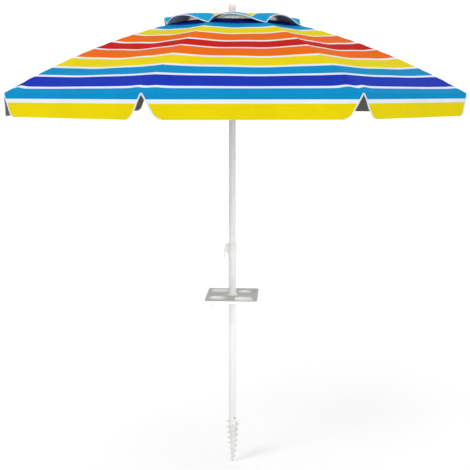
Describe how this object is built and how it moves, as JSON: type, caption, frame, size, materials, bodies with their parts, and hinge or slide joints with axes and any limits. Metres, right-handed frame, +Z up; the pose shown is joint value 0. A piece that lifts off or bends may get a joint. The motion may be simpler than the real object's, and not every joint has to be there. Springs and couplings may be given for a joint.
{
  "type": "beach umbrella",
  "caption": "Beach umbrella with a vented striped canopy, folding ribs on a runner, telescopic pole with flip lock, clip-on snack tray and screw sand anchor.",
  "frame": {"origin": "on the pole's axis at the sand line, where the lower tube meets the anchor's screw", "axes": "+Z up along the pole; +X to the right and -Y towards the viewer of the picture"},
  "size_m": [1.9198, 1.9198, 2.0568],
  "materials": {
    "white_painted_tube": "satin",
    "white_plastic": "satin",
    "anchor_plastic": "satin",
    "tray_plastic": "satin",
    "dark_plastic": "satin",
    "grey_plastic": "satin",
    "rib_fibreglass": "satin",
    "stretcher_steel": "satin",
    "wire_steel": "satin",
    "screw_steel": "satin",
    "canopy_cloth": "matte",
    "cover_cloth": "matte"
  },
  "bodies": {
    "lower_pole": {"lower_pole": "white_painted_tube", "sand_anchor": "anchor_plastic", "anchor_screw": "screw_steel", "clamp_collar": "white_plastic", "lever_pin": "wire_steel"},
    "clamp_lever": {"clamp_lever": "white_plastic"},
    "tray_collet": {"tray_collet": "white_plastic"},
    "tray": {"tray": "tray_plastic"},
    "upper_pole": {"upper_pole": "white_painted_tube", "pole_bush": "dark_plastic", "runner_catch": "wire_steel", "hub": "white_plastic", "hub_ring": "wire_steel", "finial": "white_plastic", "vent_cover": "cover_cloth"},
    "runner": {"runner": "white_plastic"},
    "rib_1": {"rib_1": "rib_fibreglass", "rib_tip_1": "white_plastic", "rib_bracket_1": "grey_plastic", "canopy_panel_1": "canopy_cloth"},
    "stretcher_1": {"stretcher_1": "stretcher_steel"},
    "rib_2": {"rib_2": "rib_fibreglass", "rib_tip_2": "white_plastic", "rib_bracket_2": "grey_plastic", "canopy_panel_2": "canopy_cloth"},
    "stretcher_2": {"stretcher_2": "stretcher_steel"},
    "rib_3": {"rib_3": "rib_fibreglass", "rib_tip_3": "white_plastic", "rib_bracket_3": "grey_plastic", "canopy_panel_3": "canopy_cloth"},
    "stretcher_3": {"stretcher_3": "stretcher_steel"},
    "rib_4": {"rib_4": "rib_fibreglass", "rib_tip_4": "white_plastic", "rib_bracket_4": "grey_plastic", "canopy_panel_4": "canopy_cloth"},
    "stretcher_4": {"stretcher_4": "stretcher_steel"},
    "rib_5": {"rib_5": "rib_fibreglass", "rib_tip_5": "white_plastic", "rib_bracket_5": "grey_plastic", "canopy_panel_5": "canopy_cloth"},
    "stretcher_5": {"stretcher_5": "stretcher_steel"},
    "rib_6": {"rib_6": "rib_fibreglass", "rib_tip_6": "white_plastic", "rib_bracket_6": "grey_plastic", "canopy_panel_6": "canopy_cloth"},
    "stretcher_6": {"stretcher_6": "stretcher_steel"},
    "rib_7": {"rib_7": "rib_fibreglass", "rib_tip_7": "white_plastic", "rib_bracket_7": "grey_plastic", "canopy_panel_7": "canopy_cloth"},
    "stretcher_7": {"stretcher_7": "stretcher_steel"},
    "rib_8": {"rib_8": "rib_fibreglass", "rib_tip_8": "white_plastic", "rib_bracket_8": "grey_plastic", "canopy_panel_8": "canopy_cloth"},
    "stretcher_8": {"stretcher_8": "stretcher_steel"}
  },
  "joints": [
    {"name": "height_slide", "type": "slide", "parent": "lower_pole", "child": "upper_pole", "axis": [0, 0, 1], "range_m": [-0.1, 0.15]},
    {"name": "clamp_lever_flip", "type": "hinge", "parent": "lower_pole", "child": "clamp_lever", "pos_m": [-0.0225, 0, 0.806], "axis": [0, 1, 0], "range_deg": [0, 120]},
    {"name": "tray_slide", "type": "slide", "parent": "lower_pole", "child": "tray_collet", "axis": [0, 0, 1], "range_m": [-0.35, 0.05]},
    {"name": "tray_turn", "type": "hinge", "parent": "tray_collet", "child": "tray", "pos_m": [0, 0, 0.583], "axis": [0, 0, 1], "continuous": true},
    {"name": "runner_slide", "type": "slide", "parent": "upper_pole", "child": "runner", "axis": [0, 0, -1], "range_m": [0, 0.57225], "deforming": ["runner_catch", "vent_cover", "canopy_panel_1", "canopy_panel_2", "canopy_panel_3", "canopy_panel_4", "canopy_panel_5", "canopy_panel_6", "canopy_panel_7", "canopy_panel_8"]},
    {"name": "rib_1_fold", "type": "hinge", "parent": "upper_pole", "child": "rib_1", "pos_m": [0.02598, 0.015, 1.806], "axis": [-0.5, 0.866, 0], "range_deg": [0, 63.01]},
    {"name": "stretcher_1_fold", "type": "hinge", "parent": "rib_1", "child": "stretcher_1", "pos_m": [0.35324, 0.20394, 1.71337], "axis": [-0.5, 0.866, 0], "range_deg": [-126.02, 0]},
    {"name": "rib_2_fold", "type": "hinge", "parent": "upper_pole", "child": "rib_2", "pos_m": [0.00777, 0.02898, 1.806], "axis": [-0.9659, 0.2588, 0], "range_deg": [0, 63.01]},
    {"name": "stretcher_2_fold", "type": "hinge", "parent": "rib_2", "child": "stretcher_2", "pos_m": [0.10557, 0.39399, 1.71337], "axis": [-0.9659, 0.2588, 0], "range_deg": [-126.02, 0]},
    {"name": "rib_3_fold", "type": "hinge", "parent": "upper_pole", "child": "rib_3", "pos_m": [-0.015, 0.02598, 1.806], "axis": [-0.866, -0.5, 0], "range_deg": [0, 63.01]},
    {"name": "stretcher_3_fold", "type": "hinge", "parent": "rib_3", "child": "stretcher_3", "pos_m": [-0.20394, 0.35324, 1.71337], "axis": [-0.866, -0.5, 0], "range_deg": [-126.02, 0]},
    {"name": "rib_4_fold", "type": "hinge", "parent": "upper_pole", "child": "rib_4", "pos_m": [-0.02898, 0.00777, 1.806], "axis": [-0.2588, -0.9659, 0], "range_deg": [0, 63.01]},
    {"name": "stretcher_4_fold", "type": "hinge", "parent": "rib_4", "child": "stretcher_4", "pos_m": [-0.39399, 0.10557, 1.71337], "axis": [-0.2588, -0.9659, 0], "range_deg": [-126.02, 0]},
    {"name": "rib_5_fold", "type": "hinge", "parent": "upper_pole", "child": "rib_5", "pos_m": [-0.02598, -0.015, 1.806], "axis": [0.5, -0.866, 0], "range_deg": [0, 63.01]},
    {"name": "stretcher_5_fold", "type": "hinge", "parent": "rib_5", "child": "stretcher_5", "pos_m": [-0.35324, -0.20394, 1.71337], "axis": [0.5, -0.866, 0], "range_deg": [-126.02, 0]},
    {"name": "rib_6_fold", "type": "hinge", "parent": "upper_pole", "child": "rib_6", "pos_m": [-0.00777, -0.02898, 1.806], "axis": [0.9659, -0.2588, 0], "range_deg": [0, 63.01]},
    {"name": "stretcher_6_fold", "type": "hinge", "parent": "rib_6", "child": "stretcher_6", "pos_m": [-0.10557, -0.39399, 1.71337], "axis": [0.9659, -0.2588, 0], "range_deg": [-126.02, 0]},
    {"name": "rib_7_fold", "type": "hinge", "parent": "upper_pole", "child": "rib_7", "pos_m": [0.015, -0.02598, 1.806], "axis": [0.866, 0.5, 0], "range_deg": [0, 63.01]},
    {"name": "stretcher_7_fold", "type": "hinge", "parent": "rib_7", "child": "stretcher_7", "pos_m": [0.20394, -0.35324, 1.71337], "axis": [0.866, 0.5, 0], "range_deg": [-126.02, 0]},
    {"name": "rib_8_fold", "type": "hinge", "parent": "upper_pole", "child": "rib_8", "pos_m": [0.02898, -0.00777, 1.806], "axis": [0.2588, 0.9659, 0], "range_deg": [0, 63.01]},
    {"name": "stretcher_8_fold", "type": "hinge", "parent": "rib_8", "child": "stretcher_8", "pos_m": [0.39399, -0.10557, 1.71337], "axis": [0.2588, 0.9659, 0], "range_deg": [-126.02, 0]}
  ],
  "couplings": [
    {"joint": "rib_1_fold", "follows": "runner_slide", "rad_per_m": 1.9215},
    {"joint": "stretcher_1_fold", "follows": "runner_slide", "rad_per_m": -3.8429},
    {"joint": "rib_2_fold", "follows": "runner_slide", "rad_per_m": 1.9215},
    {"joint": "stretcher_2_fold", "follows": "runner_slide", "rad_per_m": -3.8429},
    {"joint": "rib_3_fold", "follows": "runner_slide", "rad_per_m": 1.9215},
    {"joint": "stretcher_3_fold", "follows": "runner_slide", "rad_per_m": -3.8429},
    {"joint": "rib_4_fold", "follows": "runner_slide", "rad_per_m": 1.9215},
    {"joint": "stretcher_4_fold", "follows": "runner_slide", "rad_per_m": -3.8429},
    {"joint": "rib_5_fold", "follows": "runner_slide", "rad_per_m": 1.9215},
    {"joint": "stretcher_5_fold", "follows": "runner_slide", "rad_per_m": -3.8429},
    {"joint": "rib_6_fold", "follows": "runner_slide", "rad_per_m": 1.9215},
    {"joint": "stretcher_6_fold", "follows": "runner_slide", "rad_per_m": -3.8429},
    {"joint": "rib_7_fold", "follows": "runner_slide", "rad_per_m": 1.9215},
    {"joint": "stretcher_7_fold", "follows": "runner_slide", "rad_per_m": -3.8429},
    {"joint": "rib_8_fold", "follows": "runner_slide", "rad_per_m": 1.9215},
    {"joint": "stretcher_8_fold", "follows": "runner_slide", "rad_per_m": -3.8429}
  ]
}
